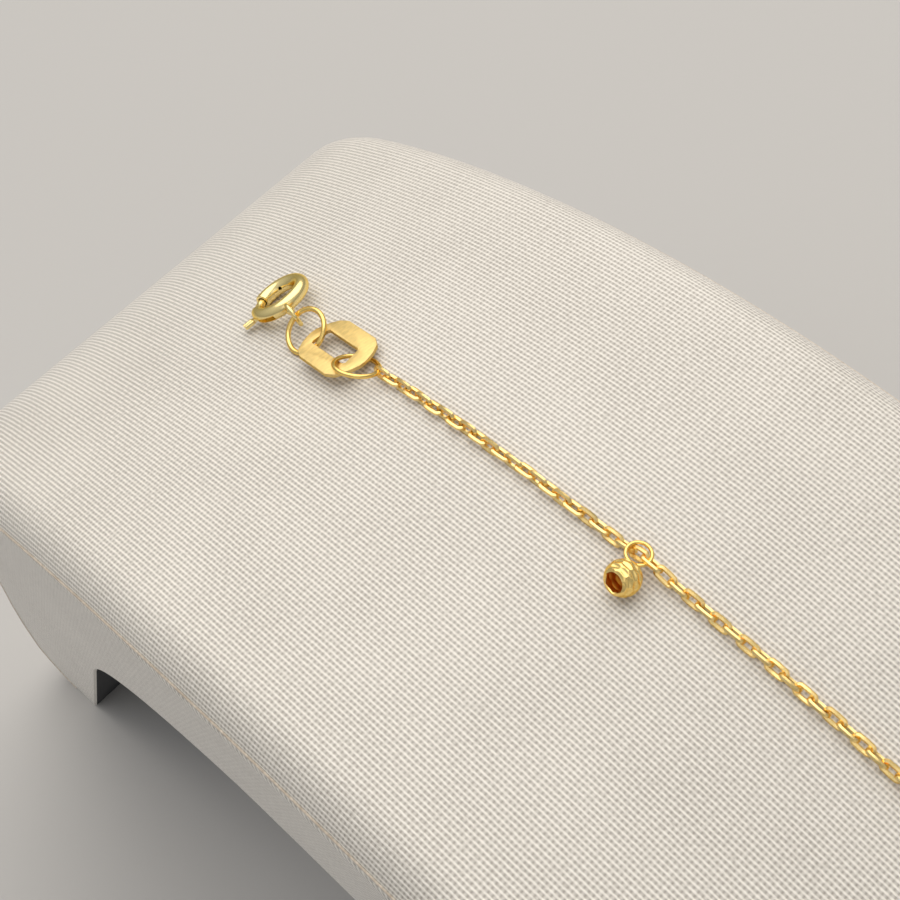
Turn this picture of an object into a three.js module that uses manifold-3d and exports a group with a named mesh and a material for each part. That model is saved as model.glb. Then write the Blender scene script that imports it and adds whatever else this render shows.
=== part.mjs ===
// A gold chain bracelet with a spring ring clasp, laid open down a cloth covered display ramp.
// Millimetres, +Z up, X across the ramp, -Y down its long slope. Z = 0 is the table.
import * as THREE from 'three';
import { mergeVertices } from 'three/addons/utils/BufferGeometryUtils.js';
import Module from 'manifold-3d';

const wasm = await Module();
wasm.setup();

// display ramp
const rampWidth = 56;
const rampHeight = 73;
const rampThickness = 22;
const crestRadius = 123;
const slopeAngle = 28;
const archEnd = 24.5;
const ridgeStart = 11;
const ridgeRadius = 28;
const legAngle = 61;
const soleRadius = 5;
const toeSoleLength = 12;
const legTip = 4.9;
const archCorner = { inward: 12.5, height: 34, pullIn: 1, pullDown: 1.2 };
const archStart = 5;
const topRoll = 4;
const edgeRoll = 0.3;
const topForm = { ridgeEnd: 45, beyond: 40, below: -12 };

// the bracelet's line down the ramp, and the air under it
const laneX = 2.55;
const clothGap = 0.05;

// clasp: a hollow split ring whose angles run from its own +X axis
const claspRadius = 2.325;
const claspTube = 0.675;
const claspBore = 0.45;
const mouthAngle = 136;
const gapAngle = 44;
const claspPlace = { across: 1.0, along: 9.6, height: 1.27, turn: [-13.4, -3.4, -22] };
const slot = { from: 176, to: 247, width: 0.52, drop: -0.2, inner: 0.1, outer: 1 };
const vent = { angle: 78, radius: 0.17, rise: 0.1, length: 1 };
const eye = { angle: -83, radius: 1.05, wire: 0.2, out: 1.7, drop: -0.5 };
const saddle = { radius: 0.4, out: 0.65, drop: -0.4 };

// bolt that closes the clasp, with its thumb lever
const boltRadius = 0.37;
const boltFrom = 131;
const boltTo = 250;
const lever = {
  angle: 188, root: 0.2, seat: 0.795, tip: 1.85, lap: 0.1,
  width: 0.4, neck: 0.36, pad: 0.4, padWidth: 0.8,
};
const leverGroove = { width: 0.2, depth: 0.1, out: 0.2 };

// rings
const claspRing = { across: -0.67, along: 3.39, height: 1.28, radius: 2.02, wire: 0.21, turn: [5.3, -30, 0] };
const chainRing = { across: -1.02, along: -4.18, height: 1.22, radius: 1.96, wire: 0.18, turn: [0.5, 30.6, 0] };
const endRing = { across: 0, along: -163.1, height: 0.26, radius: 1.9, wire: 0.21, turn: [0, 0, 0] };

// tag: a plate with cut corners and a window nearer to the clasp
const tag = { across: -0.45, along: -0.8, height: 1.02, turn: [0, 5.4, -2.6], thickness: 0.38 };
const tagBevel = 0.07;
const tagQuarter = [[2.8, 1.95], [2.35, 2.75], [1.55, 3.25], [0.9, 3.5], [0.3, 3.66]];
const tagWindow = { left: -1.02, right: 0.98, head: 2.6, footLeft: -2.3, footRight: -1.9, cut: 0.2 };

// chain: one tube that rises where the charm's ring passes through it
const chainDiameter = 1.0;
const chainStep = 2.1;
const chainStart = -6.4;
const chainEnd = -160.8;
const chainRise = 0.24;
const riseLength = 1.1;
const ringCrossing = -36.05;
const crossingGap = 0.26;

// charm: a hollow ball with an open mouth and a ring soldered to it
const ballRadius = 1.46;
const ballWall = 0.2;
const ballMouth = 0.9;
const ballPlace = { across: -2.46, along: -35.62, height: 1.51 };
const charmRing = { across: -0.12, along: -35.1, height: 1.33, radius: 1.0, wire: 0.14, turn: [4.6, 7.9, 0] };
const mouthDirection = { across: -0.872, along: 0.07, up: 0.485 };

// how finely round shapes are divided
const rampFacets = { roll: 4, edge: 1, curve: 9 };
const claspFacets = { shell: 18, bore: 14, around: 44, block: 96, saddle: 12, vent: 12 };
const boltFacets = { sides: 14, around: 20 };
const ringFacets = { sides: 10, around: 40 };
const eyeFacets = { sides: 10, around: 24 };
const charmFacets = { sides: 8, around: 28, ball: 24, profile: 11 };
const chainSides = 8;
const weldDistance = 1e-4;
const boreOverrun = 4;

const degrees = THREE.MathUtils.degToRad;

const satin = new THREE.MeshStandardMaterial({ color: '#ddd6c9', roughness: 0.75, metalness: 0 });
const paleGold = new THREE.MeshStandardMaterial({ color: '#e2c873', roughness: 0.18, metalness: 1 });
const gold = new THREE.MeshStandardMaterial({ color: '#e3b653', roughness: 0.2, metalness: 1 });
const brushedGold = new THREE.MeshStandardMaterial({ color: '#e0b350', roughness: 0.38, metalness: 1 });

function toSolid(geometry) {
  const bare = geometry.clone();
  bare.deleteAttribute('normal');
  bare.deleteAttribute('uv');
  const merged = mergeVertices(bare, weldDistance);
  return new wasm.Manifold(new wasm.Mesh({
    numProp: 3,
    vertProperties: Float32Array.from(merged.attributes.position.array),
    triVerts: Uint32Array.from(merged.index.array),
  }));
}

function toGeometry(solid) {
  const mesh = solid.getMesh();
  const geometry = new THREE.BufferGeometry();
  geometry.setAttribute('position', new THREE.BufferAttribute(mesh.vertProperties, 3));
  geometry.setIndex(new THREE.BufferAttribute(mesh.triVerts, 1));
  return geometry;
}

function named(name, geometry, material) {
  const mesh = new THREE.Mesh(geometry, material);
  mesh.name = name;
  return mesh;
}

// Height and slope of the ramp's top at a distance along it, measured from the crest.
function rampPoint(along, height) {
  const steep = degrees(slopeAngle);
  const arcEnd = -crestRadius * steep;
  const angle = Math.max(along, arcEnd) / crestRadius;
  const straight = Math.min(along - arcEnd, 0);
  const y = (crestRadius + height) * Math.sin(angle) + straight * Math.cos(steep);
  const z = (crestRadius + height) * Math.cos(angle) - crestRadius + straight * Math.sin(steep);
  return { y, z, tilt: -angle };
}

// A group that stands on the ramp at a place on it and is then turned by its own angles.
function onRamp({ across, along, height, turn = [0, 0, 0] }) {
  const { y, z, tilt } = rampPoint(along, height);
  const base = new THREE.Group();
  base.position.set(across, y, z);
  base.rotation.x = tilt;
  const turned = new THREE.Group();
  turned.rotation.set(degrees(turn[0]), degrees(turn[1]), degrees(turn[2]), 'YXZ');
  base.add(turned);
  return { base, turned };
}

function place(spot, ...meshes) {
  const { base, turned } = onRamp(spot);
  turned.add(...meshes);
  return base;
}

// Centres of the ramp's round toe, ridge and foot in its side view, where +X is the ramp's +Y.
function rampCentres() {
  const steep = degrees(slopeAngle);
  const turn = degrees(ridgeStart);
  const leg = degrees(legAngle);
  const crestZ = rampHeight - crestRadius;
  const slopeDrop = crestZ + crestRadius * Math.cos(steep) - soleRadius * (1 + Math.cos(steep));
  const toeY = (soleRadius - crestRadius) * Math.sin(steep) - slopeDrop / Math.tan(steep);
  const ridgeY = (crestRadius - ridgeRadius) * Math.sin(turn);
  const ridgeZ = crestZ + (crestRadius - ridgeRadius) * Math.cos(turn);
  const legDrop = ridgeZ + (ridgeRadius - soleRadius) * Math.cos(leg) - soleRadius;
  const footY = ridgeY + (ridgeRadius - soleRadius) * Math.sin(leg) + legDrop / Math.tan(leg);
  return { crestZ, toeY, ridgeY, ridgeZ, footY };
}

function rampOutline({ crestZ, toeY, ridgeY, ridgeZ, footY }) {
  const slopeEnd = degrees(90 + slopeAngle);
  const crestEnd = degrees(90 - ridgeStart);
  const ridgeEnd = degrees(90 - legAngle);
  const innerRadius = crestRadius - rampThickness;
  const arch = degrees(90 + archStart);
  const archY = innerRadius * Math.cos(arch);
  const archZ = crestZ + innerRadius * Math.sin(arch);
  const shape = new THREE.Shape();
  shape.moveTo(toeY, 0);
  shape.absarc(toeY, soleRadius, soleRadius, degrees(270), slopeEnd, true);
  shape.absarc(0, crestZ, crestRadius, slopeEnd, crestEnd, true);
  shape.absarc(ridgeY, ridgeZ, ridgeRadius, crestEnd, ridgeEnd, true);
  shape.absarc(footY, soleRadius, soleRadius, ridgeEnd, degrees(-90), true);
  shape.lineTo(footY - legTip, 0);
  shape.lineTo(ridgeY + archCorner.inward, archCorner.height);
  shape.quadraticCurveTo(ridgeY - archCorner.pullIn, archZ - archCorner.pullDown, archY, archZ);
  shape.absarc(0, crestZ, innerRadius, arch, degrees(90 + archEnd), false);
  shape.lineTo(toeY + toeSoleLength, 0);
  shape.closePath();
  return shape;
}

// The ramp's top alone, carried on past its foot and toe, for the wide roll of its upper edges.
function topOutline({ crestZ, toeY, ridgeY, ridgeZ, footY }) {
  const slopeEnd = degrees(90 + slopeAngle);
  const crestEnd = degrees(90 - ridgeStart);
  const ridgeEnd = degrees(90 - topForm.ridgeEnd);
  const { beyond, below } = topForm;
  const slopeY = crestRadius * Math.cos(slopeEnd);
  const slopeZ = crestZ + crestRadius * Math.sin(slopeEnd);
  const endY = ridgeY + ridgeRadius * Math.cos(ridgeEnd);
  const endZ = ridgeZ + ridgeRadius * Math.sin(ridgeEnd);
  const farY = footY + beyond;
  const shape = new THREE.Shape();
  shape.moveTo(toeY, below);
  shape.lineTo(slopeY - (slopeZ - below) / Math.tan(degrees(slopeAngle)), below);
  shape.lineTo(slopeY, slopeZ);
  shape.absarc(0, crestZ, crestRadius, slopeEnd, crestEnd, true);
  shape.absarc(ridgeY, ridgeZ, ridgeRadius, crestEnd, ridgeEnd, true);
  shape.lineTo(farY, Math.max(endZ - (farY - endY) * Math.tan(degrees(topForm.ridgeEnd)), below));
  shape.lineTo(farY, below);
  shape.closePath();
  return shape;
}

// A side view drawn across the ramp's width, with both its edges rolled.
function drawnAcross(shape, roll, segments) {
  const geometry = new THREE.ExtrudeGeometry(shape, {
    depth: rampWidth - 2 * roll,
    bevelThickness: roll,
    bevelSize: roll,
    bevelOffset: -roll,
    bevelSegments: segments,
    curveSegments: rampFacets.curve,
  });
  geometry.translate(0, 0, roll - rampWidth / 2);
  geometry.rotateX(Math.PI / 2);
  geometry.rotateZ(Math.PI / 2);
  return toSolid(geometry);
}

function rampBody(places) {
  const whole = drawnAcross(rampOutline(places), edgeRoll, rampFacets.edge);
  const top = drawnAcross(topOutline(places), topRoll, rampFacets.roll);
  return named('stand_body', toGeometry(whole.intersect(top)), satin);
}

// An arc in the XY plane, for tubes and cutters that follow the clasp's ring.
class Arc extends THREE.Curve {
  constructor(radius, from, to) {
    super();
    Object.assign(this, { radius, from: degrees(from), to: degrees(to) });
  }

  getPoint(t) {
    const angle = THREE.MathUtils.lerp(this.from, this.to, t);
    return new THREE.Vector3(this.radius * Math.cos(angle), this.radius * Math.sin(angle), 0);
  }
}

function circleShape(radius) {
  const shape = new THREE.Shape();
  shape.absarc(0, 0, radius, 0, 2 * Math.PI, false);
  return shape;
}

function arcTube(ringRadius, tubeRadius, from, to, sides, steps) {
  const geometry = new THREE.ExtrudeGeometry(circleShape(tubeRadius), {
    extrudePath: new Arc(ringRadius, from, to),
    curveSegments: sides / 2,
    steps,
  });
  return toSolid(geometry);
}

// A block that follows the clasp's ring: a lathed section cut to the wedge between two angles.
function arcBlock(inner, outer, low, high, from, to) {
  const corners = [[inner, low], [outer, low], [outer, high], [inner, high], [inner, low]];
  const profile = corners.map(([radius, z]) => new THREE.Vector2(radius, z));
  const full = new THREE.LatheGeometry(profile, claspFacets.block);
  full.rotateX(Math.PI / 2);
  const reach = 2 * outer;
  const wedge = new THREE.Shape();
  wedge.moveTo(0, 0);
  for (const angle of [from, (from + to) / 2, to]) {
    wedge.lineTo(reach * Math.cos(degrees(angle)), reach * Math.sin(degrees(angle)));
  }
  wedge.closePath();
  const sector = new THREE.ExtrudeGeometry(wedge, { depth: 2 * reach, bevelEnabled: false });
  sector.translate(0, 0, -reach);
  return toSolid(full).intersect(toSolid(sector));
}

// A point of the clasp's own frame at an angle and radius.
function atAngle(angle, radius, z) {
  return new THREE.Vector3(radius * Math.cos(degrees(angle)), radius * Math.sin(degrees(angle)), z);
}

// The soldered eye stands across the clasp's tube on a small saddle.
function claspEye() {
  const ring = new THREE.TorusGeometry(eye.radius, eye.wire, eyeFacets.sides, eyeFacets.around);
  ring.rotateY(Math.PI / 2);
  ring.rotateZ(degrees(eye.angle) + Math.PI / 2);
  ring.translate(...atAngle(eye.angle, claspRadius + eye.out, eye.drop));
  const base = new THREE.SphereGeometry(saddle.radius, claspFacets.saddle, claspFacets.saddle / 2);
  base.translate(...atAngle(eye.angle, claspRadius + saddle.out, saddle.drop));
  return toSolid(ring).add(toSolid(base));
}

function claspVent() {
  const hole = new THREE.CylinderGeometry(vent.radius, vent.radius, vent.length, claspFacets.vent);
  hole.rotateZ(Math.PI / 2 + degrees(vent.angle));
  hole.translate(...atAngle(vent.angle, claspRadius - claspTube, vent.rise));
  return toSolid(hole);
}

function claspBody() {
  const { shell, bore, around } = claspFacets;
  const end = mouthAngle + gapAngle - 360;
  const tube = arcTube(claspRadius, claspTube, end, mouthAngle, shell, around);
  const hollow = arcTube(claspRadius, claspBore, end - boreOverrun, mouthAngle + boreOverrun, bore, around);
  const low = slot.drop - slot.width / 2;
  const high = slot.drop + slot.width / 2;
  const track = arcBlock(claspRadius + slot.inner, claspRadius + slot.outer, low, high, slot.from, slot.to);
  const solid = tube.add(claspEye()).subtract(hollow).subtract(track).subtract(claspVent());
  return named('clasp_body', toGeometry(solid), paleGold);
}

// A box that runs out along +X between two distances from the clasp's bore.
function outwardBox(from, to, width, height, rise = 0) {
  const box = new THREE.BoxGeometry(to - from, width, height);
  box.translate(claspRadius + (from + to) / 2, 0, slot.drop + rise);
  return toSolid(box);
}

function claspBolt() {
  const rod = arcTube(claspRadius, boltRadius, boltFrom, boltTo, boltFacets.sides, boltFacets.around);
  const { root, seat, tip, lap, width, neck, pad, padWidth } = lever;
  const stem = outwardBox(root, seat + lap, width, neck);
  const thumb = outwardBox(seat, tip, padWidth, pad);
  const { out, depth } = leverGroove;
  const cut = outwardBox(seat + out, tip + out, leverGroove.width, 2 * depth, pad / 2);
  const turned = toGeometry(stem.add(thumb).subtract(cut));
  turned.rotateZ(degrees(lever.angle));
  return named('clasp_bolt', toGeometry(rod.add(toSolid(turned))), paleGold);
}

function wireRing(name, spot, material) {
  const geometry = new THREE.TorusGeometry(spot.radius, spot.wire, ringFacets.sides, ringFacets.around);
  return place(spot, named(name, geometry, material));
}

function outline(points) {
  return points.map(([x, y]) => new THREE.Vector2(x, y));
}

// Tag: the outline is the same on both sides and at both ends.
function tagShape() {
  const across = tagQuarter.map(([x, y]) => [-x, y]).reverse();
  const half = [...tagQuarter, ...across];
  const shape = new THREE.Shape(outline([...half, ...half.map(([x, y]) => [-x, -y])]));
  const { left, right, head, footLeft, footRight, cut } = tagWindow;
  const window = [
    [left + cut, head], [left, head - cut], [left, footLeft + cut], [left + cut, footLeft],
    [right - cut, footRight], [right, footRight + cut], [right, head - cut], [right - cut, head],
  ];
  shape.holes.push(new THREE.Path(outline(window)));
  return shape;
}

function tagPlate() {
  const geometry = new THREE.ExtrudeGeometry(tagShape(), {
    depth: tag.thickness - 2 * tagBevel,
    bevelThickness: tagBevel,
    bevelSize: tagBevel,
    bevelOffset: -tagBevel,
    bevelSegments: 1,
  });
  geometry.translate(0, 0, tagBevel - tag.thickness / 2);
  return place(tag, named('tag_plate', geometry, brushedGold));
}

// The chain's middle line, which lies on the cloth and rises at the charm's ring.
class ChainLine extends THREE.Curve {
  constructor(from, to) {
    super();
    Object.assign(this, { from, to });
  }

  getPoint(t) {
    const along = THREE.MathUtils.lerp(this.from, this.to, t);
    const rise = chainRise * Math.exp(-(((along - ringCrossing) / riseLength) ** 2));
    const { y, z } = rampPoint(along, chainDiameter / 2 + clothGap + rise);
    return new THREE.Vector3(0, y, z);
  }
}

function chainTube(name, from, to) {
  const geometry = new THREE.ExtrudeGeometry(circleShape(chainDiameter / 2), {
    extrudePath: new ChainLine(from, to),
    curveSegments: chainSides / 2,
    steps: Math.ceil(Math.abs(to - from) / (chainStep * chainDiameter)),
  });
  return named(name, geometry, gold);
}

// Charm: the ball's profile runs from its outer pole to the mouth and back inside, turned about +Y.
function ballProfile() {
  const inner = ballRadius - ballWall;
  const steps = charmFacets.profile;
  const outerStop = Math.acos(ballMouth / ballRadius);
  const innerStop = Math.acos(ballMouth / inner);
  const point = (radius, angle) => new THREE.Vector2(radius * Math.cos(angle), radius * Math.sin(angle));
  const outer = [];
  const inside = [];
  for (let i = 1; i <= steps; i += 1) {
    const part = i / steps;
    outer.push(point(ballRadius, THREE.MathUtils.lerp(-Math.PI / 2, outerStop, part)));
    inside.push(point(inner, THREE.MathUtils.lerp(-Math.PI / 2, innerStop, part)));
  }
  const start = new THREE.Vector2(0, -ballRadius);
  const finish = new THREE.Vector2(0, -inner);
  return [start, ...outer, ...inside.reverse(), finish];
}

function charmBall() {
  const ball = new THREE.LatheGeometry(ballProfile(), charmFacets.ball);
  const { y, z, tilt } = rampPoint(ballPlace.along, ballPlace.height);
  const { across, along, up: rise } = mouthDirection;
  const facing = new THREE.Vector3(across, along, rise).normalize();
  facing.applyAxisAngle(new THREE.Vector3(1, 0, 0), tilt);
  const up = new THREE.Vector3(0, 1, 0);
  ball.applyQuaternion(new THREE.Quaternion().setFromUnitVectors(up, facing));
  ball.translate(ballPlace.across, y, z);
  return toSolid(ball);
}

function beadCharm() {
  const { radius, wire } = charmRing;
  const ring = new THREE.TorusGeometry(radius, wire, charmFacets.sides, charmFacets.around);
  const { base, turned } = onRamp(charmRing);
  base.updateMatrixWorld(true);
  ring.applyMatrix4(turned.matrixWorld);
  return named('bead_charm', toGeometry(charmBall().add(toSolid(ring))), gold);
}

const centres = rampCentres();
const middle = (centres.toeY + centres.footY) / 2;
const stand = rampBody(centres);
stand.position.y = -middle;

const bracelet = new THREE.Group();
bracelet.position.set(laneX, -middle, rampHeight);
bracelet.add(
  place(claspPlace, claspBody(), claspBolt()),
  wireRing('clasp_jump_ring', claspRing, gold),
  tagPlate(),
  wireRing('chain_jump_ring', chainRing, gold),
  chainTube('chain_1', chainStart, ringCrossing + crossingGap),
  chainTube('chain_2', ringCrossing - crossingGap, chainEnd),
  beadCharm(),
  wireRing('end_ring', endRing, gold),
);

const group = new THREE.Group();
group.add(stand, bracelet);

export default group;
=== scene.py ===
import math
import random

import bmesh
import bpy
from mathutils import Matrix, Vector, geometry


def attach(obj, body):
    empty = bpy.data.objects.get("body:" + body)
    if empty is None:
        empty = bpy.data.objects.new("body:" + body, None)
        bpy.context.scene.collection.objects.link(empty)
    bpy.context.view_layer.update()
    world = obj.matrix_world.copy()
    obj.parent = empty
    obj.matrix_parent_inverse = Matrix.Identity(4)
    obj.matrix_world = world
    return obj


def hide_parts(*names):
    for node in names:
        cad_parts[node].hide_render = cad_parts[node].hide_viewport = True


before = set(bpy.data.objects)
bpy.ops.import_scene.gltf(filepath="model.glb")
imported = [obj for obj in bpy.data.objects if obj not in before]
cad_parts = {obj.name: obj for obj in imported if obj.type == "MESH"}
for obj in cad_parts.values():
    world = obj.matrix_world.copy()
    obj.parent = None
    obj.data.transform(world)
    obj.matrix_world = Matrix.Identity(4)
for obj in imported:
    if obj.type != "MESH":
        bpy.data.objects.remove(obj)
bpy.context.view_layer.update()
scene = bpy.context.scene
mm = 0.001
weld = 1e-4  # points nearer than this, in mm, are one
rigid = "bracelet_on_ramp"


# small helpers

def toLinear(code):
    # sRGB hex to the linear numbers a shader takes
    parts = [int(code[i:i + 2], 16) / 255 for i in (1, 3, 5)]
    return [p / 12.92 if p < 0.04045 else ((p + 0.055) / 1.055) ** 2.4 for p in parts] + [1]


def addNode(material, kind, settings=None, inputs=None):
    tree = material.node_tree
    node = tree.nodes.new(kind)
    for key, value in (settings or {}).items():
        setattr(node, key, value)
    for key, value in (inputs or {}).items():
        if isinstance(value, bpy.types.NodeSocket):
            tree.links.new(value, node.inputs[key])
        else:
            node.inputs[key].default_value = value
    return node


def newMaterial(name):
    material = bpy.data.materials.new(name)
    material.use_nodes = True
    material.node_tree.nodes.clear()
    return material


def addPiece(name, bm, place, material, replaced=(), body=rigid, sharp=35):
    mesh = bpy.data.meshes.new(name)
    bm.to_mesh(mesh)
    bm.free()
    mesh.transform(place @ Matrix.Scale(mm, 4))
    mesh.shade_smooth()
    mesh.set_sharp_from_angle(angle=math.radians(sharp))
    mesh.materials.append(material)
    piece = bpy.data.objects.new(name, mesh)
    scene.collection.objects.link(piece)
    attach(piece, body)
    if replaced:
        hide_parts(*replaced)
    return piece


def swing(bm, angle, axis):  # turns a whole shape about the origin, by an angle in radians
    bmesh.ops.rotate(bm, verts=bm.verts, cent=(0, 0, 0), matrix=Matrix.Rotation(angle, 3, axis))


def soften(bm, geom, offset, segments, affect="EDGES"):
    bmesh.ops.bevel(bm, geom=geom, offset=offset, segments=segments, profile=0.5, affect=affect,
                    material=-1)


def capEdges(bm):  # the edges of a tube's two end faces
    return [e for f in bm.faces if len(f.verts) > 8 for e in f.edges]


def combine(bm, other, operation):  # joins or cuts two closed shapes
    made = []
    for part in (bm, other):
        mesh = bpy.data.meshes.new("part")
        part.to_mesh(mesh)
        part.free()
        made.append(bpy.data.objects.new("part", mesh))
        scene.collection.objects.link(made[-1])
    target, tool = made
    change = target.modifiers.new("join", "BOOLEAN")
    change.operation, change.solver, change.object = operation, "EXACT", tool
    result = bmesh.new()
    result.from_object(target, bpy.context.evaluated_depsgraph_get())
    for thing in made:
        bpy.data.meshes.remove(thing.data)
    return result


# ramp

ramp = {
    "width": 56, "height": 73, "thickness": 22, "crestRadius": 123, "slope": 28,
    "ridgeStart": 11, "ridgeRadius": 28, "leg": 61, "soleRadius": 5, "toeSole": 12, "legTip": 4.9,
    "archStart": 5, "archEnd": 24.5, "cornerInward": 12.5, "cornerHeight": 34,
    "pullIn": 1, "pullDown": 1.2, "roll": 4, "edgeRoll": 0.3, "rings": 9, "seamRing": 7,
    "toeFade": (4, 14), "legFade": (15, 45), "sideInset": 0.4, "sideRib": 1.4,
    "toeSteps": 22, "slopeSteps": 16, "crestSteps": 60, "ridgeSteps": 30, "legSteps": 6, "footSteps": 16,
    "insideSteps": 8, "bendPoints": 17, "archSteps": 24, "soleSteps": 16,
}
lane = {"x": 2.55}


def rampCentres():
    r = ramp
    steep, turn, leg = (math.radians(r[k]) for k in ("slope", "ridgeStart", "leg"))
    crestZ = r["height"] - r["crestRadius"]
    drop = crestZ + r["crestRadius"] * math.cos(steep) - r["soleRadius"] * (1 + math.cos(steep))
    toeY = (r["soleRadius"] - r["crestRadius"]) * math.sin(steep) - drop / math.tan(steep)
    ridgeY = (r["crestRadius"] - r["ridgeRadius"]) * math.sin(turn)
    ridgeZ = crestZ + (r["crestRadius"] - r["ridgeRadius"]) * math.cos(turn)
    reach = r["ridgeRadius"] - r["soleRadius"]
    legDrop = ridgeZ + reach * math.cos(leg) - r["soleRadius"]
    footY = ridgeY + reach * math.sin(leg) + legDrop / math.tan(leg)
    return {"crestZ": crestZ, "toeY": toeY, "ridgeY": ridgeY, "ridgeZ": ridgeZ, "footY": footY}


centres = rampCentres()
crestY = -(centres["toeY"] + centres["footY"]) / 2


def rampPoint(along, height):
    steep = math.radians(ramp["slope"])
    radius = ramp["crestRadius"]
    arcEnd = -radius * steep
    angle = max(along, arcEnd) / radius
    straight = min(along - arcEnd, 0)
    y = (radius + height) * math.sin(angle) + straight * math.cos(steep)
    z = (radius + height) * math.cos(angle) - radius + straight * math.sin(steep)
    return y, z, -angle


def onRamp(across, along, height, turn=(0, 0, 0)):
    y, z, tilt = rampPoint(along, height)
    place = Matrix.Translation(Vector((lane["x"] + across, crestY + y, ramp["height"] + z)) * mm)
    turns = [Matrix.Rotation(math.radians(a), 4, axis) for a, axis in zip(turn, "XYZ")]
    return place @ Matrix.Rotation(tilt, 4, "X") @ turns[1] @ turns[0] @ turns[2]


def rampProfile(bm):
    r, c = ramp, centres
    tip = [bm.verts.new((0, c["toeY"], 0))]

    def arc(centre, angle, steps):
        made = bmesh.ops.spin(bm, geom=[tip[-1]], cent=(0, *centre), axis=(1, 0, 0), dvec=(0, 0, 0),
                              angle=math.radians(angle), steps=steps)
        tip.append([g for g in made["geom_last"] if isinstance(g, bmesh.types.BMVert)][0])

    def line(y, z):
        made = bmesh.ops.extrude_vert_indiv(bm, verts=[tip[-1]])
        made["verts"][0].co = (0, y, z)
        tip.append(made["verts"][0])

    def run(y, z, steps):
        start = tip[-1].co.copy()
        for i in range(1, steps + 1):
            point = start.lerp(Vector((0, y, z)), i / steps)
            line(point.y, point.z)

    steep = math.radians(r["slope"])
    leg = math.radians(r["leg"])
    arc((c["toeY"], r["soleRadius"]), r["slope"] - 180, r["toeSteps"])
    slopeTop = (-r["crestRadius"] * math.sin(steep), c["crestZ"] + r["crestRadius"] * math.cos(steep))
    run(*slopeTop, r["slopeSteps"])
    arc((0, c["crestZ"]), -(r["slope"] + r["ridgeStart"]), r["crestSteps"])
    arc((c["ridgeY"], c["ridgeZ"]), r["ridgeStart"] - r["leg"], r["ridgeSteps"])
    heel = r["soleRadius"]
    run(c["footY"] + heel * math.sin(leg), heel * (1 + math.cos(leg)), r["legSteps"])
    arc((c["footY"], heel), r["leg"] - 180, r["footSteps"])
    line(c["footY"] - r["legTip"], 0)
    corner = Vector((0, c["ridgeY"] + r["cornerInward"], r["cornerHeight"]))
    run(corner.y, corner.z, r["insideSteps"])
    inner = r["crestRadius"] - r["thickness"]
    arch = math.radians(r["archStart"])
    top = Vector((0, -inner * math.sin(arch), c["crestZ"] + inner * math.cos(arch)))
    pull = Vector((0, c["ridgeY"] - r["pullIn"], top.z - r["pullDown"]))
    bend = geometry.interpolate_bezier(corner, corner.lerp(pull, 2 / 3), top.lerp(pull, 2 / 3), top,
                                       r["bendPoints"])
    for point in bend[1:]:
        line(point.y, point.z)
    arc((0, c["crestZ"]), r["archEnd"] - r["archStart"], r["archSteps"])
    run(c["toeY"] + r["toeSole"], 0, r["soleSteps"])
    bm.edges.new((tip[-1], tip[0]))
    return tip[0]


def walkLoop(start):  # the profile's points in order, from the toe round over the top
    loop = [start]
    edge = start.link_edges[0]
    while True:
        following = edge.other_vert(loop[-1])
        if following is start:
            return loop
        loop.append(following)
        edge = [e for e in following.link_edges if e is not edge][0]


def rollScale(point, under):  # the wide roll of the top narrows down the leg, the toe and the underside
    least = ramp["edgeRoll"] / ramp["roll"]
    if under:
        return least
    low, high = ramp["toeFade"] if point.y < 0 else ramp["legFade"]
    part = min(max((point.z - low) / (high - low), 0), 1)
    return least + (1 - least) * part * part * (3 - 2 * part)


def inwardWays(points):  # at each corner, the way that moves both its edges in by one
    ways = []
    for before, here, after in zip(points[-1:] + points[:-1], points, points[1:] + points[:1]):
        first, second = ((b - a).normalized() for a, b in ((before, here), (here, after)))
        normal = Vector((0, first.z, -first.y))
        way = (normal + Vector((0, second.z, -second.y))).normalized()
        ways.append(way / way.dot(normal))
    return ways


def coverUvs(bm, length, along, reach, ring):  # the weave's own map, in mm of cloth
    layer = bm.loops.layers.uv.new("cloth")
    for face in bm.faces:
        values = [loop.vert[along] for loop in face.loops]
        wraps = max(values) - min(values) > length / 2
        panel = all(v[ring] >= ramp["seamRing"] for v in face.verts)
        for loop, value in zip(face.loops, values):
            x, y, z = loop.vert.co
            if panel:  # a cloth of its own, pulled wider
                loop[layer].uv = (y / ramp["sideRib"], z / ramp["sideRib"])
                continue
            turned = math.pi / 2 * loop.vert[ring] / ramp["rings"]
            across = ramp["width"] / 2 + loop.vert[reach] * (turned - 1)
            lap = length if wraps and value < length / 2 else 0
            loop[layer].uv = (math.copysign(across, x), value + lap)


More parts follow.
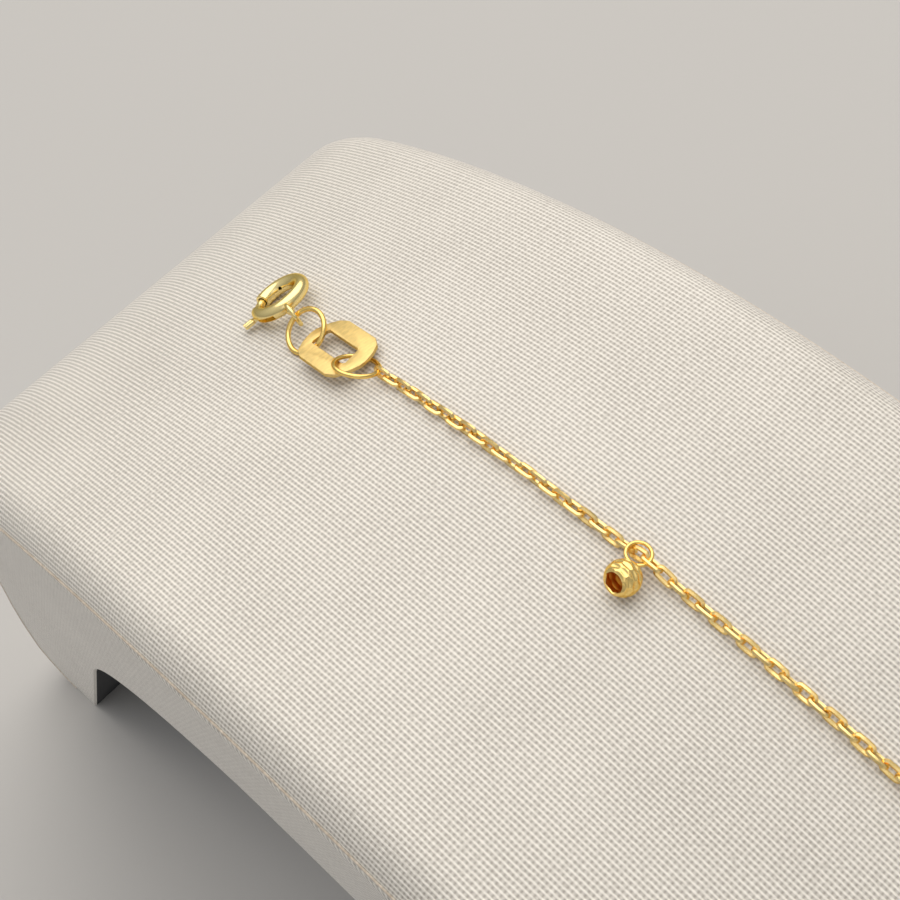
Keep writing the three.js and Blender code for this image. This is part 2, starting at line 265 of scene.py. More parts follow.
def rampCover():
    bm = bmesh.new()
    along, reach = (bm.verts.layers.float.new(name) for name in ("along", "reach"))
    order, ring = (bm.verts.layers.int.new(name) for name in ("order", "ring"))
    loop = walkLoop(rampProfile(bm))
    if (loop[1].co - loop[0].co).y > 0:  # runs forwards from the toe, up over the slope
        loop = [loop[0]] + loop[:0:-1]
    points = [v.co.copy() for v in loop]
    ways = inwardWays(points)
    foot = next(i for i, p in enumerate(points) if p.y > centres["footY"] - 0.1 and p.z < 0.01)
    length = 0
    for i, vert in enumerate(loop):
        vert[along], vert[order] = length, i
        vert[reach] = ramp["roll"] * rollScale(points[i], i > foot)
        length += (points[(i + 1) % len(points)] - points[i]).length
    half = ramp["width"] / 2
    bmesh.ops.contextual_create(bm, geom=bm.edges[:])
    bmesh.ops.extrude_face_region(bm, geom=bm.faces[:])
    seams = []
    for side, face in zip((-1, 1), [f for f in bm.faces if len(f.verts) == len(loop)]):
        for step in range(ramp["rings"] + 1):
            turned = math.pi / 2 * step / ramp["rings"]
            if step:
                made = bmesh.ops.extrude_face_region(bm, geom=[face])["geom"]
                bmesh.ops.delete(bm, geom=[face], context="FACES_ONLY")
                face = next(g for g in made if isinstance(g, bmesh.types.BMFace))
            for vert in face.verts:
                vert[ring] = step
                vert.co = points[vert[order]] + ways[vert[order]] * vert[reach] * (1 - math.cos(turned))
                vert.co.x = side * (half - vert[reach] * (1 - math.sin(turned)))
            if step == ramp["seamRing"]:
                rim = sorted(face.verts, key=lambda v: v[order])
                seams.append([v.co.copy() for v in rim if v[order] <= foot])
        bmesh.ops.inset_region(bm, faces=[face], thickness=ramp["sideInset"], use_even_offset=True)
    for face in bm.faces:  # the underside gets the near-black lining, painted shade for the hollow under the ramp
        face.material_index = int(all(v[order] > foot and v[ring] == 0 for v in face.verts))
    coverUvs(bm, length, along, reach, ring)
    bmesh.ops.recalc_face_normals(bm, faces=bm.faces[:])
    return bm, seams


def satinCloth():  # woven polyester satin: bright ridges run up the ramp between rows of pits, whose darkness is painted shade
    weave = {
        "across": 0.40, "along": 0.411, "depth": 0.07, "thread": "#f4efe6", "pitShade": "#8b8379",
        "ridgeFrom": 0.5, "ridgeTo": 1.05, "bridge": 0.38, "floor": 0.2, "crown": 0.88,
        "uneven": 1.0, "unevenScale": 2.1, "unevenRun": 0.4, "glintScale": 0.09, "glintDepth": 0.2,
        "darker": -0.1, "slub": 1.7, "smoothest": 0.3, "roughest": 0.57, "bump": 0.85,
        "sheen": 0.2, "sheenRoughness": 0.4,
    }
    material = newMaterial("wovenPolyesterSatin")
    uv = addNode(material, "ShaderNodeUVMap", {"uv_map": "cloth"})
    place = addNode(material, "ShaderNodeSeparateXYZ", inputs={0: uv.outputs[0]})

    def maths(operation, first, second=0.0, third=0.0):
        return addNode(material, "ShaderNodeMath", {"operation": operation},
                       {0: first, 1: second, 2: third}).outputs[0]

    warpTurn = maths("MULTIPLY", place.outputs[0], math.pi / weave["across"])
    weftTurn = maths("MULTIPLY", place.outputs[1], math.pi / weave["along"])
    warp = maths("ABSOLUTE", maths("SINE", warpTurn))
    weft = maths("ABSOLUTE", maths("SINE", weftTurn))
    ridge = addNode(material, "ShaderNodeMapRange", {"interpolation_type": "SMOOTHSTEP"}, {
        "Value": warp, "From Min": weave["ridgeFrom"], "From Max": weave["ridgeTo"]}).outputs[0]
    # painted shade: the troughs and the pits between threads are darkened in the colour, as well as sunk
    # in the bump
    trough = maths("MULTIPLY_ADD", weft, weave["bridge"], weave["floor"])
    crown = maths("MULTIPLY_ADD", weft, 1 - weave["crown"], weave["crown"])
    between = maths("MULTIPLY", maths("SUBTRACT", 1.0, ridge), trough)
    woven = maths("ADD", maths("MULTIPLY", ridge, crown), between)
    slub = addNode(material, "ShaderNodeTexNoise", inputs={
        "Vector": uv.outputs[0], "Scale": weave["slub"], "Detail": 2.0})
    # painted highlight: broad brighter patches added to the cloth colour
    glint = addNode(material, "ShaderNodeTexNoise", inputs={
        "Vector": uv.outputs[0], "Scale": weave["glintScale"], "Detail": 3.0})
    # painted highlights: random brighter and dimmer strokes stretched along the threads, as satin floats
    # glint; the same strokes also shape the bump
    stretched = addNode(material, "ShaderNodeVectorMath", {"operation": "MULTIPLY"}, {
        0: uv.outputs[0], 1: (1 / weave["across"], weave["unevenRun"] / weave["along"], 1)})
    uneven = addNode(material, "ShaderNodeTexNoise", inputs={
        "Vector": stretched.outputs[0], "Scale": weave["unevenScale"], "Detail": 1.0})
    glintStrokes = maths("MULTIPLY_ADD", uneven.outputs["Fac"], weave["uneven"], 1 - weave["uneven"] / 2)
    level = maths("MULTIPLY", woven, glintStrokes)
    shade = maths("MULTIPLY_ADD", glint.outputs["Fac"], weave["glintDepth"],
                  maths("ADD", level, weave["darker"]))
    # the colour runs from the painted pit shade up to the thread's own tone
    tint = addNode(material, "ShaderNodeMix", {"data_type": "RGBA"},
                   {"Factor": shade, "A": toLinear(weave["pitShade"]), "B": toLinear(weave["thread"])})
    bump = addNode(material, "ShaderNodeBump", inputs={
        "Height": level, "Strength": weave["bump"], "Distance": weave["depth"] * mm})
    rough = addNode(material, "ShaderNodeMapRange", inputs={
        "Value": slub.outputs["Fac"], "To Min": weave["smoothest"], "To Max": weave["roughest"]})
    shader = addNode(material, "ShaderNodeBsdfPrincipled", inputs={
        "Base Color": tint.outputs["Result"], "Roughness": rough.outputs[0], "Normal": bump.outputs[0],
        "Sheen Weight": weave["sheen"], "Sheen Roughness": weave["sheenRoughness"]})
    addNode(material, "ShaderNodeOutputMaterial", inputs={"Surface": shader.outputs[0]})
    return material


def undersideShadeLining():  # near-black lining with a faint nap, painted shade that keeps the hollow under the ramp dark
    undersideShade = {"fibre": 0.35, "dark": "#1b1c1e", "light": "#35363a", "bump": 0.5, "depth": 0.1,
             "roughness": 0.95}
    material = newMaterial("undersideShadeLining")
    place = addNode(material, "ShaderNodeTexCoord")
    nap = addNode(material, "ShaderNodeTexNoise", inputs={
        "Vector": place.outputs["Object"], "Scale": 1 / (undersideShade["fibre"] * mm), "Detail": 3.0})
    tint = addNode(material, "ShaderNodeMix", {"data_type": "RGBA"}, {
        "Factor": nap.outputs["Fac"], "A": toLinear(undersideShade["dark"]), "B": toLinear(undersideShade["light"])})
    bump = addNode(material, "ShaderNodeBump", inputs={
        "Height": nap.outputs["Fac"], "Strength": undersideShade["bump"], "Distance": undersideShade["depth"] * mm})
    shader = addNode(material, "ShaderNodeBsdfPrincipled", inputs={
        "Base Color": tint.outputs["Result"], "Roughness": undersideShade["roughness"], "Normal": bump.outputs[0]})
    addNode(material, "ShaderNodeOutputMaterial", inputs={"Surface": shader.outputs[0]})
    return material


cloth = satinCloth()
coverPlace = Matrix.Translation((0, crestY * mm, 0))
cover, seamLines = rampCover()
rampPiece = addPiece("rampCover", cover, coverPlace, cloth, ["stand_body"])
# painted shade: the near-black lining for the underside
rampPiece.data.materials.append(undersideShadeLining())
print("ramp cover made", len(seamLines[0]), "points round each seam")


def rampSeams():  # a fine cord sewn in where the top cloth meets each side
    seam = {"cord": 0.13, "roundness": 2}
    bm = bmesh.new()
    for points in seamLines:
        curve = bpy.data.curves.new("seam", "CURVE")
        curve.dimensions = "3D"
        curve.bevel_depth, curve.bevel_resolution = seam["cord"], seam["roundness"]
        curve.use_fill_caps = True
        spline = curve.splines.new("POLY")
        spline.points.add(len(points) - 1)
        for point, co in zip(spline.points, points):
            point.co = (*co, 1)
        carrier = bpy.data.objects.new("seam", curve)
        bm.from_mesh(bpy.data.meshes.new_from_object(carrier))
        bpy.data.objects.remove(carrier)
    bmesh.ops.remove_doubles(bm, verts=bm.verts[:], dist=weld)
    bmesh.ops.recalc_face_normals(bm, faces=bm.faces[:])
    return bm


def twistedCord():  # fine cord twisted from the cover's yarn, which shows as a row of small light plies, with painted shade in the grooves between them
    ply = {"pitch": 0.42, "crown": "#eadfce", "groove": "#a89783", "randomness": 0.5, "bump": 0.6,
           "depth": 0.05, "roughness": 0.5, "sheen": 0.2}
    material = newMaterial("twistedSatinCord")
    place = addNode(material, "ShaderNodeTexCoord")
    cell = addNode(material, "ShaderNodeTexVoronoi", inputs={
        "Vector": place.outputs["Object"], "Scale": 1 / (ply["pitch"] * mm),
        "Randomness": ply["randomness"]})
    # painted shade: the darker groove colour fills the hollows between the plies
    tint = addNode(material, "ShaderNodeMix", {"data_type": "RGBA"}, {
        "Factor": cell.outputs["Distance"], "A": toLinear(ply["crown"]), "B": toLinear(ply["groove"])})
    bump = addNode(material, "ShaderNodeBump", {"invert": True}, {
        "Height": cell.outputs["Distance"], "Strength": ply["bump"], "Distance": ply["depth"] * mm})
    shader = addNode(material, "ShaderNodeBsdfPrincipled", inputs={
        "Base Color": tint.outputs["Result"], "Roughness": ply["roughness"], "Sheen Weight": ply["sheen"],
        "Normal": bump.outputs[0]})
    addNode(material, "ShaderNodeOutputMaterial", inputs={"Surface": shader.outputs[0]})
    return material


addPiece("rampSeams", rampSeams(), coverPlace, twistedCord())
print("seams made")


# gold finishes

gold = {"relief": 0.02, "detail": 4.0, "mottleFrom": 0.3, "mottleTo": 0.7,
        "smoothest": 0.7, "roughest": 1.3}


def goldFinish(name, colour, roughness, grain, strength, mottle=0.0):  # grain is in marks a millimetre
    material = newMaterial(name)
    place = addNode(material, "ShaderNodeTexCoord")
    scaled = addNode(material, "ShaderNodeMapping", inputs={
        "Vector": place.outputs["Object"], "Scale": [g / mm for g in grain]})
    noise = addNode(material, "ShaderNodeTexNoise", inputs={
        "Vector": scaled.outputs[0], "Scale": 1.0, "Detail": gold["detail"]})
    bump = addNode(material, "ShaderNodeBump", inputs={
        "Height": noise.outputs["Fac"], "Strength": strength, "Distance": gold["relief"] * mm})
    tint = toLinear(colour)
    if mottle:
        shade = addNode(material, "ShaderNodeMapRange", inputs={
            "Value": noise.outputs["Fac"], "From Min": gold["mottleFrom"], "From Max": gold["mottleTo"],
            "To Min": 1 - mottle})
        tint = addNode(material, "ShaderNodeVectorMath", {"operation": "SCALE"}, {
            0: toLinear(colour)[:3], "Scale": shade.outputs[0]}).outputs[0]
    rough = addNode(material, "ShaderNodeMapRange", inputs={
        "Value": noise.outputs["Fac"], "To Min": roughness * gold["smoothest"],
        "To Max": roughness * gold["roughest"]})
    shader = addNode(material, "ShaderNodeBsdfPrincipled", inputs={
        "Base Color": tint, "Metallic": 1.0, "Specular Tint": toLinear(colour),
        "Roughness": rough.outputs[0], "Normal": bump.outputs[0]})
    addNode(material, "ShaderNodeOutputMaterial", inputs={"Surface": shader.outputs[0]})
    return material


# pale gold sheet, drawn into tube and polished: broad soft lights with hardly a mark
polishedPale = goldFinish("polishedPaleGold", "#ffe8a2", 0.2, (1.5, 1.5, 1.5), 0.25)
# drawn yellow gold wire, tumbled bright: one thin light line along each ring
polishedYellow = goldFinish("polishedYellowGold", "#ffdb84", 0.2, (2.5, 2.5, 2.5), 0.3)
# stamped plate brushed one way: matt, with streaks along the grain and a mottled tone
satinYellow = goldFinish("satinBrushedGold", "#f1d48e", 0.42, (1.6, 5, 5), 1, 0.22)
# the inside of the ball as it was cast: dull, with a deeper orange painted in as shade, since it is lit
# only by its own walls
insideShadeGold = goldFinish("unpolishedInsideShadeGold", "#ffbe4c", 0.5, (4, 4, 4), 0.5)
# wire links with diamond-cut faces: small hard glints on each link
cutYellow = goldFinish("diamondCutGold", "#ffe097", 0.27, (3, 3, 3), 0.35)
# a satin ball with bright cuts: soft between, with a glint in each cut
satinCut = goldFinish("satinCutGold", "#ffde8c", 0.26, (3, 3, 3), 0.35)


# clasp

clasp = {
    "radius": 2.325, "tube": 0.675, "bore": 0.45, "mouth": 136, "gap": 44,
    "place": (1.0, 9.6, 1.27), "turn": (-13.4, -3.4, -22),
    "slotFrom": 176, "slotTo": 247, "slotWidth": 0.52, "drop": -0.2,
    "slotInner": 0.1, "slotOuter": 1, "slotRound": 0.1, "slotSteps": 24, "rim": 0.06, "boreOver": 4,
    "vent": 78, "ventRadius": 0.17, "ventRise": 0.1,
    "eyeAngle": -83, "eyeRadius": 1.05, "eyeWire": 0.2, "eyeOut": 1.7, "eyeDrop": -0.5,
    "saddle": 0.4, "saddleOut": 0.65, "saddleDrop": -0.4,
}
claspFrame = onRamp(*clasp["place"], clasp["turn"])


def atAngle(angle, radius, z=0):  # a point on the clasp's circle, by an angle in degrees
    return Vector((radius * math.cos(math.radians(angle)), radius * math.sin(math.radians(angle)), z))


def wireRing(radius, wire, sides=16, steps=72):
    bm = bmesh.new()
    made = bmesh.ops.create_circle(bm, segments=sides, radius=wire)
    turn = Matrix.Translation((radius, 0, 0)) @ Matrix.Rotation(math.pi / 2, 4, "X")
    bmesh.ops.transform(bm, matrix=turn, verts=made["verts"])
    bmesh.ops.spin(bm, geom=bm.verts[:] + bm.edges[:], cent=(0, 0, 0), axis=(0, 0, 1), angle=2 * math.pi,
                   steps=steps, use_merge=True)
    bmesh.ops.remove_doubles(bm, verts=bm.verts[:], dist=weld)
    bmesh.ops.recalc_face_normals(bm, faces=bm.faces[:])
    return bm


def solidTube(ring, tube, start, end, sides, steps):
    bm = bmesh.new()
    made = bmesh.ops.create_circle(bm, segments=sides, radius=tube)
    turn = Matrix.Translation(atAngle(start, ring)) @ Matrix.Rotation(math.radians(start), 4, "Z") \
        @ Matrix.Rotation(math.pi / 2, 4, "X")
    bmesh.ops.transform(bm, matrix=turn, verts=made["verts"])
    bmesh.ops.spin(bm, geom=bm.verts[:] + bm.edges[:], cent=(0, 0, 0), axis=(0, 0, 1),
                   angle=math.radians(end - start), steps=steps)
    bmesh.ops.holes_fill(bm, edges=[e for e in bm.edges if e.is_boundary])
    bmesh.ops.recalc_face_normals(bm, faces=bm.faces[:])
    return bm


def block(size, centre, angle=0):
    bm = bmesh.new()
    bmesh.ops.create_cube(bm, size=1)
    bmesh.ops.scale(bm, verts=bm.verts, vec=size)
    bmesh.ops.translate(bm, verts=bm.verts, vec=centre)
    swing(bm, math.radians(angle), "Z")
    return bm


def slotCutter():
    c = clasp
    bm = bmesh.new()
    low, high = c["drop"] - c["slotWidth"] / 2, c["drop"] + c["slotWidth"] / 2
    inner, outer = c["radius"] + c["slotInner"], c["radius"] + c["slotOuter"]
    places = ((inner, 0, low), (outer, 0, low), (outer, 0, high), (inner, 0, high))
    corners = [bm.verts.new(p) for p in places]
    bm.faces.new(corners)
    soften(bm, corners, c["slotRound"], 3, "VERTICES")
    swing(bm, math.radians(c["slotFrom"]), "Z")
    bmesh.ops.spin(bm, geom=bm.faces[:] + bm.edges[:] + bm.verts[:], cent=(0, 0, 0), axis=(0, 0, 1),
                   angle=math.radians(c["slotTo"] - c["slotFrom"]), steps=c["slotSteps"])
    bmesh.ops.holes_fill(bm, edges=[e for e in bm.edges if e.is_boundary])
    bmesh.ops.recalc_face_normals(bm, faces=bm.faces[:])
    return bm


def claspEye():
    c = clasp
    ring = wireRing(c["eyeRadius"], c["eyeWire"], sides=16, steps=48)
    swing(ring, math.pi / 2, "Y")
    swing(ring, math.radians(c["eyeAngle"]) + math.pi / 2, "Z")
    bmesh.ops.translate(ring, verts=ring.verts,
                        vec=atAngle(c["eyeAngle"], c["radius"] + c["eyeOut"], c["eyeDrop"]))
    saddle = bmesh.new()
    bmesh.ops.create_uvsphere(saddle, u_segments=24, v_segments=16, radius=c["saddle"])
    bmesh.ops.translate(saddle, verts=saddle.verts,
                        vec=atAngle(c["eyeAngle"], c["radius"] + c["saddleOut"], c["saddleDrop"]))
    return combine(ring, saddle, "UNION")


def claspShell():
    c = clasp
    end = c["mouth"] + c["gap"] - 360
    shell = solidTube(c["radius"], c["tube"], end, c["mouth"], sides=40, steps=110)
    soften(shell, capEdges(shell), c["rim"], 3)
    shell = combine(shell, claspEye(), "UNION")
    bore = solidTube(c["radius"], c["bore"], end - c["boreOver"], c["mouth"] + c["boreOver"],
                     sides=32, steps=110)
    shell = combine(shell, bore, "DIFFERENCE")
    shell = combine(shell, slotCutter(), "DIFFERENCE")
    vent = bmesh.new()
    bmesh.ops.create_cone(vent, cap_ends=True, segments=20, radius1=c["ventRadius"],
                          radius2=c["ventRadius"], depth=1)
    swing(vent, math.pi / 2, "Y")
    swing(vent, math.radians(c["vent"]), "Z")
    bmesh.ops.translate(vent, verts=vent.verts,
                        vec=atAngle(c["vent"], c["radius"] - c["tube"], c["ventRise"]))
    return combine(shell, vent, "DIFFERENCE")


addPiece("claspShell", claspShell(), claspFrame, polishedPale, ["clasp_body"], sharp=40)
print("clasp shell made")

bolt = {
    "radius": 0.37, "from": 131, "to": 250, "angle": 188, "root": 0.2, "seat": 0.795, "tip": 1.85,
    "nose": 0.1, "buried": 0.1, "width": 0.4, "neck": 0.36, "pad": 0.4, "padWidth": 0.8, "padRound": 0.11,
    "groove": 0.17, "grooveSink": 0.08, "grooveLength": 2, "grooveOut": 1.15,
}


def claspBolt():
    b, c = bolt, clasp
    rod = solidTube(c["radius"], b["radius"], b["from"], b["to"], sides=28, steps=40)
    soften(rod, capEdges(rod), b["nose"], 4)
    base = c["radius"] + b["root"]
    seat = c["radius"] + b["seat"]
    tip = c["radius"] + b["tip"]
    stem = block((seat - base + b["buried"], b["width"], b["neck"]),
                 ((seat + base) / 2 + b["buried"] / 2, 0, c["drop"]), b["angle"])
    pad = block((tip - seat, b["padWidth"], b["pad"]), ((tip + seat) / 2, 0, c["drop"]))
    soften(pad, pad.edges[:], b["padRound"], 4)
    groove = bmesh.new()
    bmesh.ops.create_cone(groove, cap_ends=True, segments=24, radius1=b["groove"], radius2=b["groove"],
                          depth=b["grooveLength"])
    swing(groove, math.pi / 2, "Y")
    lift = c["drop"] + b["pad"] / 2 + b["groove"] - b["grooveSink"]
    bmesh.ops.translate(groove, verts=groove.verts, vec=(seat + b["grooveOut"], 0, lift))
    pad = combine(pad, groove, "DIFFERENCE")
    swing(pad, math.radians(b["angle"]), "Z")
    return combine(combine(rod, stem, "UNION"), pad, "UNION")


addPiece("claspBolt", claspBolt(), claspFrame, polishedPale, ["clasp_bolt"], body="bolt",
         sharp=40)
print("bolt made")


# rings and tag

rings = {
    "claspJumpRing": {"node": "clasp_jump_ring", "radius": 2.02, "wire": 0.235,
                      "at": (-0.67, 3.39, 1.28), "turn": (5.3, -30, 0)},
    "chainJumpRing": {"node": "chain_jump_ring", "radius": 1.96, "wire": 0.205,
                      "at": (-1.02, -4.18, 1.22), "turn": (0.5, 30.6, 0)},
    "endRing": {"node": "end_ring", "radius": 1.9, "wire": 0.21,
                "at": (0, -163.1, 0.26), "turn": (0, 0, 0)},
}
for name, ring in rings.items():
    addPiece(name, wireRing(ring["radius"], ring["wire"]), onRamp(*ring["at"], ring["turn"]),
             polishedYellow, [ring["node"]])

tag = {
    "at": (-0.45, -0.8, 1.02), "turn": (0, 5.4, -2.6), "thickness": 0.38, "edge": 0.05,
    "sharperThan": 1.2,
    "quarter": ((2.8, 1.95), (2.35, 2.75), (1.55, 3.25), (0.9, 3.5), (0.3, 3.66)),
    "window": ((-0.82, 2.6), (-1.02, 2.4), (-1.02, -2.1), (-0.82, -2.3),
               (0.78, -1.9), (0.98, -1.7), (0.98, 2.4), (0.78, 2.6)),
}


def tagPlate():
    right = list(tag["quarter"])
    half = right + [(-x, y) for x, y in right[::-1]]
    outline = half + [(-x, -y) for x, y in half]
    bm = bmesh.new()
    edges = []
    for points in (outline, tag["window"]):
        verts = [bm.verts.new((x, y, -tag["thickness"] / 2)) for x, y in points]
        edges += [bm.edges.new((a, b)) for a, b in zip(verts, verts[1:] + verts[:1])]
    bmesh.ops.triangle_fill(bm, edges=edges, use_beauty=True)
    bmesh.ops.dissolve_limit(bm, angle_limit=0.01, verts=bm.verts[:], edges=bm.edges[:])
    made = bmesh.ops.extrude_face_region(bm, geom=bm.faces[:])
    moved = [g for g in made["geom"] if isinstance(g, bmesh.types.BMVert)]
    bmesh.ops.translate(bm, verts=moved, vec=(0, 0, tag["thickness"]))
    bmesh.ops.recalc_face_normals(bm, faces=bm.faces[:])
    # the edges round the two flat faces
    rims = [e for e in bm.edges if len(e.link_faces) == 2 and e.calc_face_angle(0) > tag["sharperThan"]
            and abs(e.verts[0].co.z - e.verts[1].co.z) < weld]
    soften(bm, rims, tag["edge"], 3)
    return bm


addPiece("tagPlate", tagPlate(), onRamp(*tag["at"], tag["turn"]), satinYellow, ["tag_plate"])
print("rings and tag made")


# chain

chain = {
    "start": -6.15, "end": -160.9, "pitch": 1.315, "length": 2.11, "width": 1.19, "wire": 0.195,
    "sides": 6, "steps": 18, "rest": 0.5, "rise": 0.7, "riseAt": -36.1, "riseLength": 1.9,
    "seed": 7, "twist": 7, "sway": 0.06, "roll": -23, "rollFrom": -34, "rollTo": -26,
}


def linkShape():  # a round ring pulled out into an oval
    bm = wireRing(chain["width"] / 2 - chain["wire"], chain["wire"], chain["sides"], chain["steps"])
    stretch = (chain["length"] - chain["width"]) / 2
    for vert in bm.verts:
        if abs(vert.co.y) > weld / 10:
            vert.co.y += math.copysign(stretch, vert.co.y)
    return bm


def chainRise(along):  # the charm's ring lifts the chain where it hangs
    return chain["rise"] * math.exp(-((along - chain["riseAt"]) / chain["riseLength"]) ** 2)


def cableChain(centresAlong):
    draw = random.Random(chain["seed"])
    base = linkShape()
    mesh = bpy.data.meshes.new("link")
    base.to_mesh(mesh)
    base.free()
    bm = bmesh.new()
    for i, along in centresAlong:
        step = chain["pitch"] / 2
        lift = math.degrees(math.atan2(chainRise(along + step) - chainRise(along - step), 2 * step))
        part = min(max((along - chain["rollFrom"]) / (chain["rollTo"] - chain["rollFrom"]), 0), 1)
        turn = (45 if i % 2 else -45) + chain["roll"] * part + draw.uniform(-1, 1) * chain["twist"]
        spot = onRamp(draw.uniform(-1, 1) * chain["sway"], along, chain["rest"] + chainRise(along),
                      (lift, 0, 0))
        copy = mesh.copy()
        copy.transform(spot @ Matrix.Scale(mm, 4) @ Matrix.Rotation(math.radians(turn), 4, "Y"))
        bm.from_mesh(copy)
        bpy.data.meshes.remove(copy)
    bmesh.ops.scale(bm, verts=bm.verts, vec=(1 / mm,) * 3)
    return bm


count = round((chain["start"] - chain["end"]) / chain["pitch"])
pitch = (chain["start"] - chain["end"]) / count
places = [(i, chain["start"] - i * pitch) for i in range(count + 1)]
upper = [p for p in places if p[1] > chain["riseAt"] + pitch / 2]
lower = [p for p in places if p not in upper]
addPiece("chainUpper", cableChain(upper), Matrix.Identity(4), cutYellow, ["chain_1"])
addPiece("chainLower", cableChain(lower), Matrix.Identity(4), cutYellow, ["chain_2"])
print("chain made", count + 1, "links")


# charm

charm = {
    "radius": 1.46, "wall": 0.09, "mouth": 0.9, "at": (-2.46, -35.62, 1.51),
    "facing": (-0.872, 0.07, 0.485), "arcSteps": 84, "turnSteps": 144,
    "ringAt": (-0.12, -35.1, 1.33), "ringTurn": (4.6, 7.9, 0), "ringRadius": 1.0, "ringWire": 0.155,
    "rows": 6, "firstRow": 38, "rowStep": 21,
    "cuts": 10, "cutDepth": 0.11, "cutLength": 0.5, "cutWidth": 0.25,
}


def charmBall():
    c = charm
    bm = bmesh.new()
    opening = math.asin(c["mouth"] / c["radius"])
    pole = bm.verts.new((0, 0, -c["radius"]))
    bmesh.ops.spin(bm, geom=[pole], cent=(0, 0, 0), axis=(0, 1, 0), angle=-(math.pi - opening),
                   steps=c["arcSteps"])
    bmesh.ops.spin(bm, geom=bm.verts[:] + bm.edges[:], cent=(0, 0, 0), axis=(0, 0, 1), angle=2 * math.pi,
                   steps=c["turnSteps"], use_merge=True)
    bmesh.ops.remove_doubles(bm, verts=bm.verts[:], dist=weld)
    cuts = []  # each cut's place as two angles, every second row set half a cut round
    for row in range(c["rows"]):
        polar = math.radians(c["firstRow"] + row * c["rowStep"])
        around = round(c["cuts"] * math.sin(polar))
        cuts += [(polar, 2 * math.pi * (k + (row % 2) / 2) / around) for k in range(around)]
    for vert in bm.verts:
        direction = vert.co.normalized()
        polar = math.acos(max(-1, min(1, direction.z)))
        turn = math.atan2(direction.y, direction.x)
        radius = c["radius"]
        for cutPolar, cutTurn in cuts:
            away = (turn - cutTurn + math.pi) % (2 * math.pi) - math.pi
            along = away * math.sin(cutPolar) * c["radius"]
            across = (polar - cutPolar) * c["radius"]
            reach = (along / c["cutLength"]) ** 2 + (across / c["cutWidth"]) ** 2
            if reach < 1:
                radius = min(radius, c["radius"] - c["cutDepth"] * (1 - reach))
        vert.co = direction * radius
    bmesh.ops.recalc_face_normals(bm, faces=bm.faces[:])
    walls = bmesh.ops.solidify(bm, geom=bm.faces[:], thickness=c["wall"])["geom"]
    for face in walls:
        if isinstance(face, bmesh.types.BMFace):  # the inside is left as cast and painted deeper orange as shade, its rim is polished
            within = face.calc_center_median().z < (c["radius"] - c["wall"]) * math.cos(opening)
            face.material_index = int(within)
    bmesh.ops.recalc_face_normals(bm, faces=bm.faces[:])
    return bm


def charmFrame():
    c = charm
    y, z, tilt = rampPoint(c["at"][1], c["at"][2])
    facing = Matrix.Rotation(tilt, 3, "X") @ Vector(c["facing"]).normalized()
    turn = facing.to_track_quat("Z", "Y").to_matrix().to_4x4()
    spot = Vector((lane["x"] + c["at"][0], crestY + y, ramp["height"] + z))
    return Matrix.Translation(spot * mm) @ turn


charmPiece = addPiece("charmBall", charmBall(), charmFrame(), satinCut, ["bead_charm"],
                      sharp=30)
charmPiece.data.materials.append(insideShadeGold)
addPiece("charmRing", wireRing(charm["ringRadius"], charm["ringWire"], sides=12, steps=48),
         onRamp(*charm["ringAt"], charm["ringTurn"]), polishedYellow)
print("charm made")


# floor, light and camera

studio = {
    "floor": "#c0bebb", "floorHalf": 40, "floorRoughness": 0.8,
    "world": "#f0f1f3", "horizon": 0.33, "overhead": 0.73,
    "keyPlace": (0.45, 0.22, 1.1), "keySize": 2.0, "keyPower": 14, "keyColour": "#fff8ee",
    "fillPlace": (-0.3, -0.9, 0.8), "fillSize": 0.9, "fillPower": 0.8, "fillColour": "#fff8ee",
    "lightsAim": (0, 0.02, 0.05), "place": (-0.03987, -0.06393, 0.16599), "lens": 67.5, "sensor": 36,
    "near": 0.005, "far": 20, "right": (0.7017, -0.6439, -0.3051), "up": (0.6472, 0.3970, 0.6508),
    "back": (-0.2979, -0.6541, 0.6953),
}


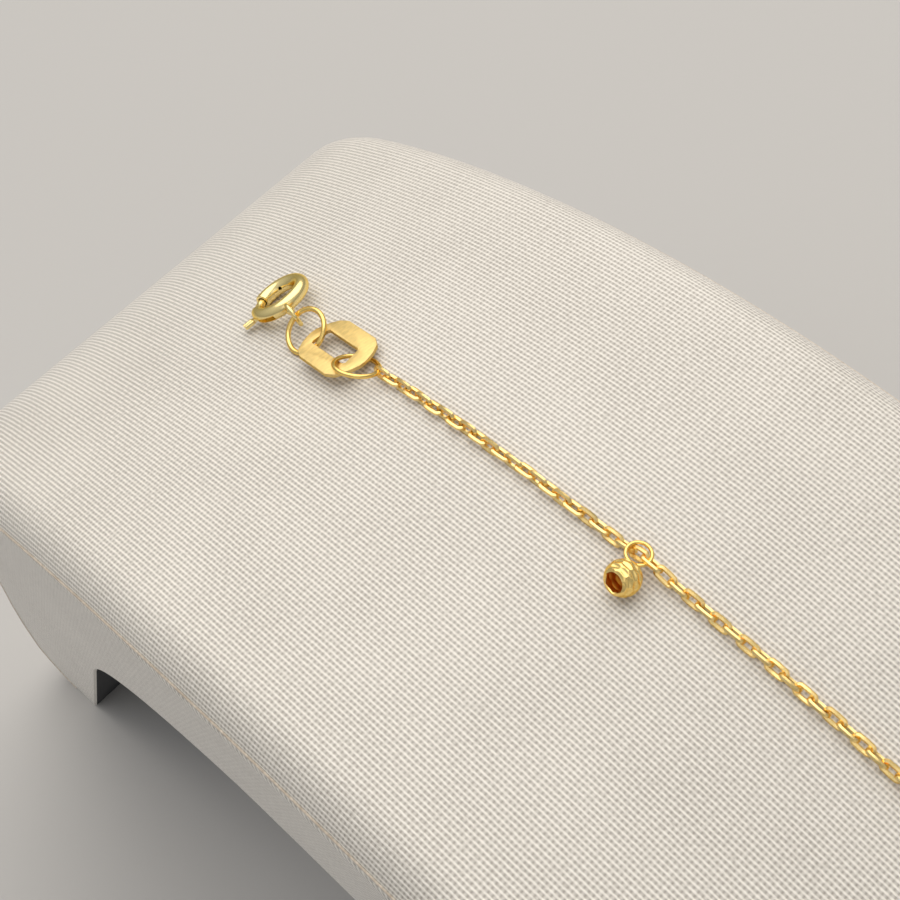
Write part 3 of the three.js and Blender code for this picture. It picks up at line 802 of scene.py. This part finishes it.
def makeFloor():  # matt paper roll, one even pale tone
    material = newMaterial("paleFloor")
    shader = addNode(material, "ShaderNodeBsdfPrincipled", inputs={
        "Base Color": toLinear(studio["floor"]), "Roughness": studio["floorRoughness"]})
    addNode(material, "ShaderNodeOutputMaterial", inputs={"Surface": shader.outputs[0]})
    bm = bmesh.new()
    bmesh.ops.create_grid(bm, x_segments=1, y_segments=1, size=studio["floorHalf"])
    mesh = bpy.data.meshes.new("floor")
    bm.to_mesh(mesh)
    bm.free()
    mesh.materials.append(material)
    floor = bpy.data.objects.new("floor", mesh)
    scene.collection.objects.link(floor)


def areaLight(name, place, target, size, power, colour):
    data = bpy.data.lights.new(name, "AREA")
    data.shape, data.size, data.energy = "DISK", size, power
    data.color = toLinear(colour)[:3]
    lamp = bpy.data.objects.new(name, data)
    lamp.location = place
    lamp.rotation_mode = "QUATERNION"
    lamp.rotation_quaternion = (Vector(target) - Vector(place)).to_track_quat("-Z", "Y")
    scene.collection.objects.link(lamp)


def makeStudio():
    makeFloor()
    for name in ("key", "fill"):
        areaLight(name + "Light", studio[name + "Place"], studio["lightsAim"], studio[name + "Size"],
                  studio[name + "Power"], studio[name + "Colour"])
    world = bpy.data.worlds.new("studio")
    world.use_nodes = True
    background = world.node_tree.nodes["Background"]
    background.inputs["Color"].default_value = toLinear(studio["world"])
    ray = addNode(world, "ShaderNodeTexCoord")
    height = addNode(world, "ShaderNodeSeparateXYZ", inputs={0: ray.outputs["Generated"]})
    # brighter overhead, so metal shows light and dark
    glow = addNode(world, "ShaderNodeMapRange", inputs={
        "Value": height.outputs["Z"], "To Min": studio["horizon"], "To Max": studio["overhead"]})
    world.node_tree.links.new(glow.outputs[0], background.inputs["Strength"])
    scene.world = world
    scene.view_settings.view_transform = "Standard"


def makeCamera():
    data = bpy.data.cameras.new("camera")
    data.lens, data.sensor_width = studio["lens"], studio["sensor"]
    data.clip_start, data.clip_end = studio["near"], studio["far"]
    camera = bpy.data.objects.new("camera", data)
    axes = Matrix((studio["right"], studio["up"], studio["back"])).transposed()
    camera.matrix_world = Matrix.Translation(studio["place"]) @ axes.to_4x4()
    scene.collection.objects.link(camera)
    scene.camera = camera


makeStudio()
makeCamera()
print("studio made")
